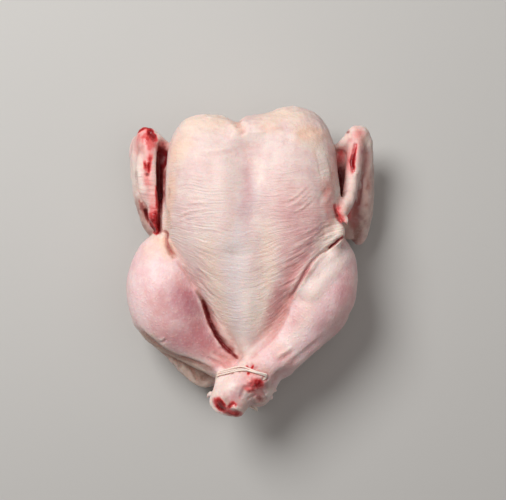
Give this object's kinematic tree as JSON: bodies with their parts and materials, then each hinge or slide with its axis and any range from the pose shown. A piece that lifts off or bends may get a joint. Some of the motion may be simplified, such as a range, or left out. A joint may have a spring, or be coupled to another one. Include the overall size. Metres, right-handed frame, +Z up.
{
  "type": "whole raw chicken",
  "caption": "Whole raw chicken lying on its back, wings folded flat at its sides, drumsticks crossed over the vent and held by an elastic tie.",
  "frame": {"origin": "on the surface that the bird lies on, under the middle of its bounding box", "axes": "+Z up, with the breast on top; +Y towards the neck end, the tail and the crossed legs towards -Y; +X towards the bird's wing on the viewer's right when seen from above with the neck end up"},
  "size_m": [0.2, 0.247, 0.098],
  "materials": {
    "skin": "raw poultry skin: pale pink and cream, moist, finely pimpled and wrinkled",
    "tie": "thin off-white elastic cord"
  },
  "bodies": {
    "root": {"chicken": "skin", "leg_tie": "tie"}
  },
  "joints": []
}
